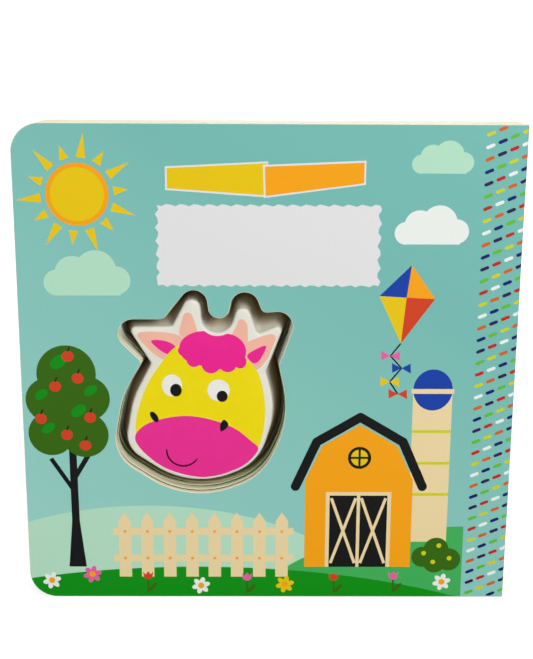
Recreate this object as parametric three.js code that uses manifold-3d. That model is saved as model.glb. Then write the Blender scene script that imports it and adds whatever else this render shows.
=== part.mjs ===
// A square children's board book with a soft squeaker set in a die-cut window.
// Millimetres. +Z is up, the spine is at +X and the front cover faces -Y.
// The book stands on its bottom edge and the origin is the middle of its footprint.

import * as THREE from 'three';
import { mergeVertices } from 'three/addons/utils/BufferGeometryUtils.js';
import Module from 'manifold-3d';

const wasm = await Module();
wasm.setup();

// Format and boards
const bookWidth = 175;
const bookHeight = 173;
const cornerRadius = 10;
const coverBoard = 2.2;
const coverGap = 0.3;
const leafBoard = 2.5;
const leafCount = 6;

// Edges of the page block: a fine seam between two leaves, and how far their windows drift apart
const seamWidth = 0.3;
const seamDepth = 0.7;
const windowDrift = 0.35;
const frontLeafDrift = Math.PI / 2; // straight up, so that its face shows under the window
const driftTurn = 2.4; // from one leaf to the next

// Spine
const spineBoard = 1.0;
const spineSetback = 0.3;
const foldRadius = 0.9;

// Window, measured from the middle of the book's width and from its bottom edge
const windowX = -23.5;
const windowZ = 75;
const leafWindowMargin = 0.1;

// Squeaker head, with heights from the back cover's inner face and insets from the window's edge
const basePlate = 0.8;
const headRise = 14.1;
const baseInset = 1.0;
const rimHeight = 1.2;
const faceInset = 3.6;
const faceRound = 1.0;
const vinylWall = 1.5;

// Whistle in the head's hollow
const whistleX = -0.5;
const whistleZ = -6;
const whistleRadius = 6;
const whistleHeight = 5;
const whistleFlangeRadius = 8.5;
const whistleFlange = 1;
const whistleBore = 3.4;
const whistleMouth = 2;
const whistleLip = 1;
const reedLength = 6;
const reedWidth = 2.4;
const reedThickness = 0.4;

// Size of one unit of the head's drawn outline, and of the hollow's
const outlineUnit = 1;

// Rounding of curves: the largest distance from a true arc to its chord
const arcTolerance = 0.05;

const blockThickness = leafBoard * leafCount;
const innerY = blockThickness / 2 + coverGap;
const hingeX = bookWidth / 2;
const foreEdgeX = -bookWidth / 2;
const spineOuterX = hingeX - spineSetback;
const spineInnerX = spineOuterX - spineBoard;

// Outline of the animal head: circles in order round it, each joined to the next by the straight
// line that touches both. A positive radius bulges outwards and a negative one is a hollow.
const headDrawing = [
  { at: 'left ear', x: -24.0, z: 25.2, r: 5.2 },
  { at: 'left neck', x: -23.1, z: 14.6, r: -1.6 },
  { at: 'left cheek', x: 6.0, z: -10.0, r: 36.0 },
  { at: 'left jaw', x: -17.6, z: -13.4, r: 13.4 },
  { at: 'chin', x: -1.0, z: -1.6, r: 32.4 },
  { at: 'right jaw', x: 4.6, z: -10.0, r: 22.5 },
  { at: 'right cheek', x: -6.4, z: -1.6, r: 36.0 },
  { at: 'right neck', x: 29.0, z: 13.4, r: -1.8 },
  { at: 'right ear', x: 26.7, z: 28.0, r: 5.2 },
  { at: 'beside right horn', x: 22.9, z: 35.3, r: -2.4 },
  { at: 'right horn', x: 15.1, z: 35.1, r: 5.0 },
  { at: 'crown', x: 6.1, z: 34.6, r: -3.8 },
  { at: 'left horn', x: -2.8, z: 36.0, r: 4.8 },
  { at: 'beside left horn', x: -15.0, z: 33.8, r: -3.4 },
];

// The hollow inside the head leaves its ears and horns solid.
const hollowDrawing = [
  { at: 'muzzle', x: -0.5, z: -5.5, r: 28.6 },
  { at: 'forehead', x: 3.0, z: 14.0, r: 16.1 },
];

const toSize = ({ x, z, r }) => ({ x: x * outlineUnit, z: z * outlineUnit, r: r * outlineUnit });
const headArcs = headDrawing.map(toSize);
const hollowArcs = hollowDrawing.map(toSize);

const paper = { roughness: 0.85, metalness: 0 };
const laminate = new THREE.MeshStandardMaterial({ color: 0x7cc0b4, roughness: 0.3, metalness: 0 });
const pageEdges = new THREE.MeshStandardMaterial({ color: 0xe1d7b4, ...paper });
const vinyl = new THREE.MeshStandardMaterial({ color: 0xe8d605, roughness: 0.45, metalness: 0 });
const plasticSheet = new THREE.MeshStandardMaterial({ color: 0xdedcd0, roughness: 0.6, metalness: 0 });
const whistlePlastic = new THREE.MeshStandardMaterial({ color: 0xf2f2ee, roughness: 0.4, metalness: 0 });

// Direction of the straight line from one circle of an outline to the next
function tangentAngle(from, to) {
  const spacing = Math.hypot(to.x - from.x, to.z - from.z);
  const lean = THREE.MathUtils.clamp((from.r - to.r) / spacing, -1, 1);
  return Math.atan2(to.z - from.z, to.x - from.x) + Math.asin(lean);
}

// Points of an outline of arcs, drawn inwards by inset. The number of points is the same for
// every inset, so that outlines at two insets can be joined point by point.
function arcOutline(arcs, inset = 0, shiftX = 0, shiftZ = 0) {
  const points = [];
  arcs.forEach((arc, i) => {
    const previous = arcs[(i + arcs.length - 1) % arcs.length];
    const next = arcs[(i + 1) % arcs.length];
    const start = tangentAngle(previous, arc);
    const full = 2 * Math.PI;
    let turn = THREE.MathUtils.euclideanModulo(tangentAngle(arc, next) - start, full);
    if (arc.r < 0) turn -= full;
    const largestStep = 2 * Math.acos(1 - Math.min(arcTolerance / Math.abs(arc.r), 0.5));
    const steps = Math.max(2, Math.ceil(Math.abs(turn) / largestStep));
    const radius = arc.r > 0 ? Math.max(arc.r - inset, arcTolerance) : arc.r - inset;
    for (let step = 0; step <= steps; step += 1) {
      const heading = start + (turn * step) / steps;
      const x = arc.x + shiftX + radius * Math.sin(heading);
      const z = arc.z + shiftZ - radius * Math.cos(heading);
      points.push(new THREE.Vector2(x, z));
    }
  });
  return points;
}

// Front view of a board: square corners at the spine, round ones at the fore edge
function boardOutline(spineX, inset = 0) {
  const left = foreEdgeX + inset;
  const bottom = inset;
  const top = bookHeight - inset;
  const radius = cornerRadius - inset;
  const shape = new THREE.Shape();
  shape.moveTo(spineX, bottom);
  shape.lineTo(spineX, top);
  shape.lineTo(left + radius, top);
  shape.absarc(left + radius, top - radius, radius, Math.PI / 2, Math.PI, false);
  shape.absarc(left + radius, bottom + radius, radius, Math.PI, 1.5 * Math.PI, false);
  shape.closePath();
  return shape.getPoints(8);
}

// A flat piece of one thickness, from its back face at backY towards the front
function slab(outline, hole, backY, thickness) {
  const shape = new THREE.Shape(outline);
  if (hole) shape.holes.push(new THREE.Path(hole));
  const geometry = new THREE.ExtrudeGeometry(shape, { depth: thickness, bevelEnabled: false });
  geometry.rotateX(Math.PI / 2);
  return geometry.translate(0, backY, 0);
}

// A closed body through outlines of equal count, listed from the back to the front
function loft(outlines, depths) {
  const count = outlines[0].length;
  const positions = outlines.flatMap((outline, k) => outline.flatMap((p) => [p.x, depths[k], p.y]));
  const index = [];
  for (let k = 0; k + 1 < outlines.length; k += 1) {
    for (let i = 0; i < count; i += 1) {
      const next = (i + 1) % count;
      const [a, b] = [k * count + i, k * count + next];
      const [c, d] = [b + count, a + count];
      index.push(a, b, c, a, c, d);
    }
  }
  const front = (outlines.length - 1) * count;
  THREE.ShapeUtils.triangulateShape(outlines[0], []).forEach(([a, b, c]) => index.push(c, b, a));
  THREE.ShapeUtils.triangulateShape(outlines.at(-1), []).forEach(([a, b, c]) => {
    index.push(front + a, front + b, front + c);
  });
  const geometry = new THREE.BufferGeometry();
  geometry.setAttribute('position', new THREE.Float32BufferAttribute(positions, 3));
  geometry.setIndex(index);
  return geometry;
}

function toSolid(geometry) {
  geometry.deleteAttribute('normal');
  geometry.deleteAttribute('uv');
  const merged = mergeVertices(geometry, 1e-4);
  const vertProperties = new Float32Array(merged.attributes.position.array);
  const triVerts = new Uint32Array(merged.index.array);
  return new wasm.Manifold(new wasm.Mesh({ numProp: 3, vertProperties, triVerts }));
}

function toGeometry(solid) {
  const { vertProperties, triVerts } = solid.getMesh();
  const geometry = new THREE.BufferGeometry();
  geometry.setAttribute('position', new THREE.BufferAttribute(new Float32Array(vertProperties), 3));
  geometry.setIndex(new THREE.BufferAttribute(new Uint32Array(triVerts), 1));
  geometry.computeVertexNormals();
  return geometry;
}

function piece(name, geometry, material) {
  const mesh = new THREE.Mesh(geometry, material);
  mesh.name = name;
  return mesh;
}

// A cover board behind its hinge line, with the spine-side outer edge rounded as the wrap folds.
// side is -1 for the front cover and 1 for the back one.
function coverSolid(side, hole) {
  const backY = side < 0 ? 0 : coverBoard;
  const board = toSolid(slab(boardOutline(hingeX), hole, backY, coverBoard));
  const plan = new THREE.Shape();
  const outerY = side * coverBoard;
  plan.moveTo(foreEdgeX, 0);
  plan.lineTo(hingeX, 0);
  plan.lineTo(hingeX, outerY - side * foldRadius);
  plan.absarc(hingeX - foldRadius, outerY - side * foldRadius, foldRadius, 0, side * Math.PI / 2, side < 0);
  plan.lineTo(foreEdgeX, outerY);
  plan.closePath();
  const folded = new THREE.ExtrudeGeometry(plan, { depth: bookHeight, bevelEnabled: false, curveSegments: 6 });
  return board.intersect(toSolid(folded));
}

function frontCover() {
  const solid = coverSolid(-1, arcOutline(headArcs, 0, windowX, windowZ));
  const geometry = toGeometry(solid).translate(-hingeX, 0, 0);
  return piece('front_cover', geometry, laminate);
}

function backCover() {
  const geometry = toGeometry(coverSolid(1, null)).translate(-hingeX, 0, 0);
  return piece('back_cover', geometry, laminate);
}

// All the leaves are one body: a core drawn in by the seam depth, and each leaf standing out of it.
function pageBlock() {
  const backY = blockThickness / 2;
  const coreHole = arcOutline(headArcs, -leafWindowMargin - seamDepth - windowDrift, windowX, windowZ);
  const coreOutline = boardOutline(spineInnerX, seamDepth);
  let block = toSolid(slab(coreOutline, coreHole, backY - seamWidth, blockThickness - 2 * seamWidth));
  for (let leaf = 0; leaf < leafCount; leaf += 1) {
    const driftAngle = frontLeafDrift + driftTurn * (leaf - leafCount + 1);
    const driftX = windowDrift * Math.cos(driftAngle);
    const driftZ = windowDrift * Math.sin(driftAngle);
    const hole = arcOutline(headArcs, -leafWindowMargin, windowX + driftX, windowZ + driftZ);
    const leafBackY = backY - leaf * leafBoard - (leaf > 0 ? seamWidth / 2 : 0);
    const leafFrontY = backY - (leaf + 1) * leafBoard + (leaf < leafCount - 1 ? seamWidth / 2 : 0);
    block = block.add(toSolid(slab(boardOutline(spineInnerX), hole, leafBackY, leafBackY - leafFrontY)));
  }
  return piece('page_block', toGeometry(block), pageEdges);
}

function spinePanel() {
  const geometry = new THREE.BoxGeometry(spineBoard, blockThickness, bookHeight);
  const mesh = piece('spine_panel', geometry, laminate);
  mesh.position.set(spineInnerX + spineBoard / 2, 0, bookHeight / 2);
  return mesh;
}

// Insets and heights of the head's flank, from the rim at its base to the edge of its flat face
function headProfile() {
  const profile = [
    { inset: baseInset, height: 0 },
    { inset: baseInset, height: rimHeight },
    { inset: faceInset, height: headRise - faceRound },
  ];
  const roundSteps = 4;
  for (let step = 1; step <= roundSteps; step += 1) {
    const angle = (Math.PI / 2) * (step / roundSteps);
    const inset = faceInset + faceRound * (1 - Math.cos(angle));
    profile.push({ inset, height: headRise - faceRound * (1 - Math.sin(angle)) });
  }
  return profile;
}

function squeakerHead() {
  const profile = headProfile();
  const outside = toSolid(loft(
    profile.map((ring) => arcOutline(headArcs, ring.inset)),
    profile.map((ring) => -ring.height),
  ));
  const ceiling = headRise - vinylWall;
  const hollow = toSolid(loft(
    [baseInset, baseInset, faceInset, faceInset + faceRound].map((inset) => (
      arcOutline(hollowArcs, inset + vinylWall)
    )),
    [vinylWall, 0, faceRound - ceiling, -ceiling],
  ));
  const mesh = piece('squeaker_head', toGeometry(outside.subtract(hollow)), vinyl);
  mesh.position.y = -basePlate;
  return mesh;
}

function squeakerBase() {
  return piece('squeaker_base', slab(arcOutline(headArcs, baseInset), null, 0, basePlate), plasticSheet);
}

// A short tube with a flange at its foot and a narrower mouth, turned about its own axis
function whistleHousing() {
  const profile = [
    new THREE.Vector2(whistleBore, 0),
    new THREE.Vector2(whistleFlangeRadius, 0),
    new THREE.Vector2(whistleFlangeRadius, whistleFlange),
    new THREE.Vector2(whistleRadius, whistleFlange),
    new THREE.Vector2(whistleRadius, whistleHeight),
    new THREE.Vector2(whistleMouth, whistleHeight),
    new THREE.Vector2(whistleMouth, whistleHeight - whistleLip),
    new THREE.Vector2(whistleBore, whistleHeight - whistleLip),
    new THREE.Vector2(whistleBore, 0),
  ];
  return piece('whistle_housing', new THREE.LatheGeometry(profile, 32), whistlePlastic);
}

function whistleReed() {
  const geometry = new THREE.BoxGeometry(reedLength, reedThickness, reedWidth);
  const mesh = piece('whistle_reed', geometry, plasticSheet);
  mesh.position.y = whistleHeight - whistleLip - reedThickness / 2;
  return mesh;
}

// The whistle's own axis runs from its foot to its mouth, so its group is turned to face the front.
function whistle() {
  const group = new THREE.Group();
  group.add(whistleHousing(), whistleReed());
  group.position.set(whistleX, -basePlate, whistleZ);
  group.rotation.x = Math.PI;
  return group;
}

function squeaker() {
  const group = new THREE.Group();
  group.add(squeakerBase(), squeakerHead(), whistle());
  group.position.set(windowX, innerY, windowZ);
  return group;
}

const frontHinge = new THREE.Group();
frontHinge.position.set(hingeX, -innerY, 0);
frontHinge.add(frontCover());

const backHinge = new THREE.Group();
backHinge.position.set(hingeX, innerY, 0);
backHinge.add(backCover());

const soundBook = new THREE.Group();
soundBook.add(pageBlock(), spinePanel(), frontHinge, backHinge, squeaker());

export default soundBook;
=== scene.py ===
import math

import bmesh
import bpy
import numpy as np
from bpy.props import FloatProperty, FloatVectorProperty, IntProperty, PointerProperty
from mathutils import Matrix, Vector
from mathutils.geometry import delaunay_2d_cdt


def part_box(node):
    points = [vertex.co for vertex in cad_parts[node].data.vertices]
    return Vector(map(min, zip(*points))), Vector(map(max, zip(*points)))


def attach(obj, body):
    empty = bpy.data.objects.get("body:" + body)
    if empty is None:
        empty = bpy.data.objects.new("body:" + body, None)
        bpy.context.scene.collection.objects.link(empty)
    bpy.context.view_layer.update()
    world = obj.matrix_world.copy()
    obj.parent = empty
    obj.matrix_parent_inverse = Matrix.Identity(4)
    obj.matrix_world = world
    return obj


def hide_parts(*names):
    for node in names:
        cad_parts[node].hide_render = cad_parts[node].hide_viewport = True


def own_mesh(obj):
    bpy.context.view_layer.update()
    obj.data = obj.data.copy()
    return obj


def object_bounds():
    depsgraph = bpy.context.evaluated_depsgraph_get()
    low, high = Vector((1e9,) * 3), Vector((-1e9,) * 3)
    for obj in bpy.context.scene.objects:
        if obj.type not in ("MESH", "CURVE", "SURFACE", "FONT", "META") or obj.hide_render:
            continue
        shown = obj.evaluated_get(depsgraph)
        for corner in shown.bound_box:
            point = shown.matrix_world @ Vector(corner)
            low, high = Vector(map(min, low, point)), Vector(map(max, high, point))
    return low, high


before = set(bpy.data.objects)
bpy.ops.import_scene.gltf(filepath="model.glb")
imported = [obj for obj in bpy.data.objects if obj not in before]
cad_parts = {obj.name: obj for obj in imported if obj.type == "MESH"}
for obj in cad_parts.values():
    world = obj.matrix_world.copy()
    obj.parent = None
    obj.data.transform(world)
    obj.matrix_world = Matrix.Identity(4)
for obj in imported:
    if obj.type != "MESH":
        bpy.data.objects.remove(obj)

bl_info = {
    "name": "Squeaker Board Book",
    "version": (1, 0, 0),
    "blender": (4, 5, 0),
    "location": "3D View > Sidebar > Board Book",
    "description": "Dresses a board book that has a squeaker head in a die-cut window",
    "category": "Object",
}

# Drawings are in millimetres, with u to the right and v up as the front cover is seen.
# The scene is in metres.
MM = 0.001

# The book's box, covers, pages and head, read from the frame
BOOK_LOW, BOOK_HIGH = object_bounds()
COVER_LOW, COVER_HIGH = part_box("front_cover")
BACK_LOW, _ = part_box("back_cover")
BLOCK_LOW, BLOCK_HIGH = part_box("page_block")
HEAD_LOW, HEAD_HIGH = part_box("squeaker_head")
BOOK_WIDTH = (COVER_HIGH.x - COVER_LOW.x) / MM
BOOK_HEIGHT = COVER_HIGH.z / MM
BOARD = (COVER_HIGH.y - COVER_LOW.y) / MM
FORE_EDGE = COVER_LOW.x / MM
FRONT_FACE = COVER_LOW.y / MM
FRONT_HINGE = COVER_HIGH.y / MM
BACK_HINGE = BACK_LOW.y / MM
BLOCK_BACK = BLOCK_HIGH.y / MM
BLOCK_THICKNESS = (BLOCK_HIGH.y - BLOCK_LOW.y) / MM
HEAD_FRONT = HEAD_LOW.y / MM
HEAD_BASE = HEAD_HIGH.y / MM

# The window's outline: circles in order round it, as in the solid model. A positive radius bulges
# outwards and a negative one is a hollow. Places are from the window's middle.
HEAD_ARCS = [
    (-24.0, 25.2, 5.2), (-23.1, 14.6, -1.6), (6.0, -10.0, 36.0), (-17.6, -13.4, 13.4),
    (-1.0, -1.6, 32.4), (4.6, -10.0, 22.5), (-6.4, -1.6, 36.0), (29.0, 13.4, -1.8),
    (26.7, 28.0, 5.2), (22.9, 35.3, -2.4), (15.1, 35.1, 5.0), (6.1, 34.6, -3.8),
    (-2.8, 36.0, 4.8), (-15.0, 33.8, -3.4),
]
# The edge of the head's front, circle for circle with the window round it
FACE_ARCS = [
    (-23.6, 25.2, 1.6), (-20.0, 13.4, -1.5), (6.0, -10.0, 32.4), (-17.6, -13.4, 9.8),
    (-1.0, -1.6, 28.8), (4.6, -10.0, 18.9), (-3.7, -3.0, 28.9), (24.0, 10.4, -1.3),
    (26.4, 25.3, 1.7), (20.5, 26.2, -1.5), (14.3, 30.9, 2.8), (5.4, 30.5, -5.7),
    (-3.7, 33.5, 3.2), (-11.6, 28.5, -1.5),
]


def to_linear(value):
    value /= 255
    return value / 12.92 if value <= 0.04045 else ((value + 0.055) / 1.055) ** 2.4


def srgb(red, green, blue):
    """A colour given as it looks on a screen, in the linear values that Blender works in."""
    return (to_linear(red), to_linear(green), to_linear(blue))


def colour(name, description, red, green, blue):
    return FloatVectorProperty(
        name=name, description=description, subtype="COLOR", size=3,
        min=0, max=1, default=srgb(red, green, blue),
    )


def length(name, description, default):
    return FloatProperty(name=name, description=description, default=default, unit="LENGTH")


class BookInks(bpy.types.PropertyGroup):
    """Inks of the printed wrap and the pages."""

    teal: colour("Teal", "Ground of the cover", 114, 182, 173)
    mint: colour("Mint", "Far hill and clouds", 176, 219, 192)
    label: colour("Label", "Bare title label", 223, 222, 222)
    yellow: colour("Yellow", "Ribbon and sun", 228, 193, 0)
    orange: colour("Orange", "Ribbon and barn", 242, 160, 8)
    black: colour("Black", "Roof and doors", 12, 12, 14)
    cream: colour("Cream", "Fence and silo", 232, 210, 160)
    blue: colour("Blue", "Silo's dome and kite", 15, 60, 160)
    red: colour("Red", "Apples and flowers", 205, 62, 30)
    lime: colour("Lime", "Yellow-green details", 200, 202, 0)
    green: colour("Green", "Meadow", 0, 140, 10)
    leaf: colour("Leaf", "Middle hill and bushes", 62, 171, 86)
    forest: colour("Forest", "Tree crowns", 50, 100, 2)
    white: colour("White", "Clouds and petals", 230, 234, 228)
    pink: colour("Pink", "Flowers and kite tail", 226, 92, 160)
    navy: colour("Navy", "Dashes", 10, 24, 104)
    purple: colour("Purple", "Dashes", 48, 14, 78)
    brick: colour("Brick", "Dashes", 188, 28, 20)
    rust: colour("Rust", "Dashes", 206, 92, 14)
    grass: colour("Grass", "Dashes", 92, 184, 36)
    endpaper: colour("Endpaper", "Inside of the covers", 206, 228, 214)
    page: colour("Page", "Faces of the pages", 20, 118, 40)


class HeadPaints(bpy.types.PropertyGroup):
    """Paints of the squeaker's face."""

    vinyl: colour("Vinyl", "Bare moulded vinyl of the front", 224, 222, 211)
    # The flank's ink is bare vinyl; the material adds painted shade to it deeper down
    flank: colour("Flank", "Bare moulded vinyl of the sides", 224, 222, 211)
    face: colour("Face", "Yellow of the face", 234, 214, 4)
    muzzle: colour("Muzzle", "Pink of the muzzle", 229, 45, 142)
    tuft: colour("Tuft", "Tuft between the horns and the inner ears", 231, 32, 140)
    ear: colour("Ear", "Ears and horns", 236, 178, 156)
    eye: colour("Eye", "White of the eyes", 232, 230, 224)
    black: colour("Black", "Pupils, nostrils and mouth", 10, 12, 12)


class BookSizes(bpy.types.PropertyGroup):
    """Small sizes of the boards, the wrap and the head."""

    corner: length("Corner", "Radius of the fore-edge corners", 10 * MM)
    fold: length("Fold", "Radius of the wrap where it turns round the spine", 0.9 * MM)
    cut_round: length("Cut edge", "Rounding of a die-cut edge", 0.18 * MM)
    seam: length("Seam", "Dark gap between two leaves", 0.28 * MM)
    seam_depth: length("Seam depth", "How deep the gaps go in", 0.7 * MM)
    window_margin: length("Leaf window", "How much wider the leaves' windows are", 0.1 * MM)
    drift: length("Drift", "How far the leaves' windows wander", 0.35 * MM)
    leaves: IntProperty(name="Leaves", description="Number of leaves", default=6, min=1)
    pillow: length("Pillow", "How far the soft face bulges", 0.45 * MM)
    face_inset: length("Face inset", "From the window's edge to the head's front edge", 3.6 * MM)
    face_round: length("Face rounding", "Rounding of the head's front edge", 1.1 * MM)
    dash_length: length("Dash length", "Length of one printed dash", 3.3 * MM)
    dash_width: length("Dash width", "Width of one printed dash", 1.15 * MM)
    dash_pitch: length("Dash pitch", "Distance between two rows of dashes", 4.2 * MM)


def inks():
    return bpy.context.scene.book_inks


def paints():
    return bpy.context.scene.head_paints


def sizes():
    return bpy.context.scene.book_sizes


# Outlines

ARC_TOLERANCE = 0.012
CORNER_STEPS = 16


def tangent_angle(start, end):
    """Direction of the straight line from one circle of an outline to the next."""
    spacing = math.hypot(end[0] - start[0], end[1] - start[1])
    lean = max(-1, min(1, (start[2] - end[2]) / spacing))
    return math.atan2(end[1] - start[1], end[0] - start[0]) + math.asin(lean)


def arc_outline(arcs, inset=0.0, shift=(0.0, 0.0), steps=None):
    """Points of an outline of arcs, drawn inwards by inset, with a set number of steps to an arc
    or as many as a smooth look needs."""
    points = []
    for i, (u, v, radius) in enumerate(arcs):
        start = tangent_angle(arcs[i - 1], arcs[i])
        turn = (tangent_angle(arcs[i], arcs[(i + 1) % len(arcs)]) - start) % math.tau
        if radius < 0:
            turn -= math.tau
        step = 2 * math.acos(1 - min(ARC_TOLERANCE / abs(radius), 0.5))
        count = steps or max(2, math.ceil(abs(turn) / step))
        for k in range(count + 1):
            heading = start + turn * k / count
            points.append((
                shift[0] + u + (radius - inset) * math.sin(heading),
                shift[1] + v - (radius - inset) * math.cos(heading),
            ))
    return points


# The glued rim of the head stands this far inside the window, and its box gives the window's place.
RIM_INSET = 1.0
RIM_OUTLINE = arc_outline(HEAD_ARCS, RIM_INSET)
WINDOW_U = HEAD_LOW.x / MM - FORE_EDGE - min(u for u, _ in RIM_OUTLINE)
WINDOW_V = HEAD_LOW.z / MM - min(v for _, v in RIM_OUTLINE)


def polar(u, v, radius, angle):
    return (u + radius * math.cos(angle), v + radius * math.sin(angle))


def window_outline(inset=0.0):
    return arc_outline(HEAD_ARCS, inset, (WINDOW_U, WINDOW_V))


def board_outline(spine_u, inset):
    """Front view of a board, drawn inwards: square at the spine, round at the fore edge."""
    radius = sizes().corner / MM
    points = [(spine_u - inset, inset), (spine_u - inset, BOOK_HEIGHT - inset)]
    for centre_v, first in ((BOOK_HEIGHT - radius, 0.5), (radius, 1.0)):
        for k in range(CORNER_STEPS + 1):
            angle = math.pi * (first + 0.5 * k / CORNER_STEPS)
            points.append(polar(radius, centre_v, radius - inset, angle))
    return points


def ellipse(u, v, radius_u, radius_v=None, turn=0.0, count=40):
    radius_v = radius_v or radius_u
    cos, sin = math.cos(math.radians(turn)), math.sin(math.radians(turn))
    points = []
    for k in range(count):
        angle = math.tau * k / count
        a, b = radius_u * math.cos(angle), radius_v * math.sin(angle)
        points.append((u + a * cos - b * sin, v + a * sin + b * cos))
    return points


def rectangle(u0, v0, u1, v1):
    return [(u0, v0), (u1, v0), (u1, v1), (u0, v1)]


def bar(u0, v0, u1, v1, width):
    """A straight band of one width between two points."""
    reach = math.hypot(u1 - u0, v1 - v0)
    a, b = (v0 - v1) / reach * width / 2, (u1 - u0) / reach * width / 2
    return [(u0 - a, v0 - b), (u1 - a, v1 - b), (u1 + a, v1 + b), (u0 + a, v0 + b)]


def smooth(points, steps=8):
    """A closed curve through a few points."""
    result = []
    for i in range(len(points)):
        p0, p1, p2, p3 = (Vector(points[(i + k) % len(points)]) for k in (-1, 0, 1, 2))
        for k in range(steps):
            t = k / steps
            point = 0.5 * (
                2 * p1 + (p2 - p0) * t + (2 * p0 - 5 * p1 + 4 * p2 - p3) * t * t
                + (3 * p1 - 3 * p2 + p3 - p0) * t * t * t
            )
            result.append(tuple(point))
    return result


def crescent(u, v, radius, start, end, width, count=24):
    """A drawn line along a round arc, with round ends that taper a little."""
    outer, inner = [], []
    for k in range(count + 1):
        share = k / count
        angle = math.radians(start + (end - start) * share)
        half = width / 2 * math.sqrt(max(0.0, 1 - (2 * share - 1) ** 8)) + 0.02
        outer.append(polar(u, v, radius + half, angle))
        inner.append(polar(u, v, radius - half, angle))
    return outer + inner[::-1]


# Panels: a flat area cut into triangles along the edges of everything that is printed on it

def anticlockwise(points):
    """The outline in the order that the triangulation expects."""
    area = sum(a[0] * b[1] - b[0] * a[1] for a, b in zip(points, points[1:] + points[:1]))
    return points if area > 0 else points[::-1]


class Panel:
    """Triangles of a printed area, with the ink of each, and the loops round its edges."""

    def __init__(self, outline, holes=(), fields=(), ground="teal", extra=()):
        outlines = [anticlockwise(p) for p in (outline, *holes, *(p for _, p in fields))]
        points, faces = [], []
        for shape in outlines:
            faces.append(list(range(len(points), len(points) + len(shape))))
            points.extend(shape)
        points.extend(extra)
        places, _, triangles, _, _, sources = delaunay_2d_cdt(
            [Vector(p) for p in points], [], faces, 1, 1e-5, True
        )
        names = [ground] + [None] * len(holes) + [name for name, _ in fields]
        self.triangles, self.inks = [], []
        for triangle, within in zip(triangles, sources):
            if 0 not in within or any(1 <= k <= len(holes) for k in within):
                continue
            self.triangles.append(tuple(triangle))
            self.inks.append(names[max(within)])
        used = sorted({k for triangle in self.triangles for k in triangle})
        index = {old: new for new, old in enumerate(used)}
        self.points = np.array([places[k][:] for k in used], float)
        self.triangles = [tuple(index[k] for k in t) for t in self.triangles]
        self.loops = self.edge_loops()

    def edge_loops(self):
        sides = {(t[k], t[(k + 1) % 3]) for t in self.triangles for k in range(3)}
        following = {a: b for a, b in sides if (b, a) not in sides}
        loops = []
        while following:
            start, at = following.popitem()
            loop = [start]
            while at != start:
                loop.append(at)
                at = following.pop(at)
            loops.append(loop)
        return loops

    def outward(self, loop):
        """For each point of a loop, the step that moves the edge outwards by one."""
        here = self.points[loop]
        before = here - np.roll(here, 1, axis=0)
        after = np.roll(here, -1, axis=0) - here
        normals = []
        for side in (before, after):
            side = side / np.linalg.norm(side, axis=1)[:, None]
            normals.append(np.stack([side[:, 1], -side[:, 0]], axis=1))
        total = normals[0] + normals[1]
        return total / np.maximum(1 + (normals[0] * normals[1]).sum(axis=1), 0.3)[:, None]


def panel_solid(name, panel, stations, near_ink, far_ink, wall_ink, palette, materials,
                wall_slot, shape=None):
    """A closed body from a panel. stations give the outward reach and the depth y of each ring of
    its walls, from the near face to the far one. wall_slot picks a wall face's material from the
    ends of its edge, and shape moves the finished points."""
    near_depth, far_depth = stations[0][1], stations[-1][1]
    places = [(u, near_depth, v) for u, v in panel.points]
    faces = list(panel.triangles)
    names = [near_ink or ink for ink in panel.inks]
    slots = [0] * len(faces)
    far = {}
    for loop in panel.loops:
        outward = panel.outward(loop)
        rings = [loop]
        for reach, depth in stations[1:]:
            rings.append(list(range(len(places), len(places) + len(loop))))
            places += [
                (panel.points[k][0] + d[0] * reach, depth, panel.points[k][1] + d[1] * reach)
                for k, d in zip(loop, outward)
            ]
        for ring, following in zip(rings, rings[1:]):
            for i in range(len(loop)):
                j = (i + 1) % len(loop)
                faces.append((following[i], following[j], ring[j], ring[i]))
                names.append(wall_ink)
                slots.append(wall_slot(places[ring[i]], places[ring[j]]))
        far.update(zip(loop, rings[-1]))
    for k in range(len(panel.points)):
        if k not in far:
            far[k] = len(places)
            places.append((panel.points[k][0], far_depth, panel.points[k][1]))
    for triangle, ink in zip(panel.triangles, panel.inks):
        faces.append(tuple(far[k] for k in reversed(triangle)))
        names.append(far_ink or ink)
        slots.append(0)
    places = np.array(places, float)
    if shape:
        places = shape(places)
    places[:, 0] += FORE_EDGE
    mesh = bpy.data.meshes.new(name)
    mesh.from_pydata((places * MM).tolist(), [], faces)
    for material in materials:
        mesh.materials.append(material)
    mesh.polygons.foreach_set("material_index", slots)
    caps = len(panel.triangles)
    walls = range(caps, len(faces) - caps)
    mesh.polygons.foreach_set("use_smooth", [i in walls for i in range(len(faces))])
    paint(mesh, names, palette)
    return add_object(name, mesh)


def add_object(name, data):
    obj = bpy.data.objects.new(name, data)
    bpy.context.scene.collection.objects.link(obj)
    return obj


def paint(mesh, names, palette):
    """Gives each face its ink. Alpha is 1 on the cover's ground, which gets a painted sheen, and on
    the head's flank, which gets painted shade."""
    values = []
    for polygon, name in zip(mesh.polygons, names):
        painted_light_mask = 1.0 if name in ("teal", "flank") else 0.0
        values.extend([*getattr(palette, name), painted_light_mask] * polygon.loop_total)
    mesh.attributes.new("ink", "FLOAT_COLOR", "CORNER").data.foreach_set("color", values)


def edge_stations(near, thickness, rounding, steps=3):
    """Rings of a board's wall: a round edge, the straight cut, and a round edge again."""
    angles = [math.pi / 2 * k / steps for k in range(steps + 1)]
    rings = [(rounding * math.sin(a), near + rounding * (1 - math.cos(a))) for a in angles]
    far = near + thickness
    rings += [(rounding * math.cos(a), far - rounding * (1 - math.sin(a))) for a in angles]
    return rings


# Node trees

SOCKET_KINDS = {int: "NodeSocketInt", float: "NodeSocketFloat", type(None): "NodeSocketGeometry"}


def socket_kind(value):
    if isinstance(value, tuple):
        return "NodeSocketColor" if len(value) == 4 else "NodeSocketVector"
    return SOCKET_KINDS[type(value)]


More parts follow.
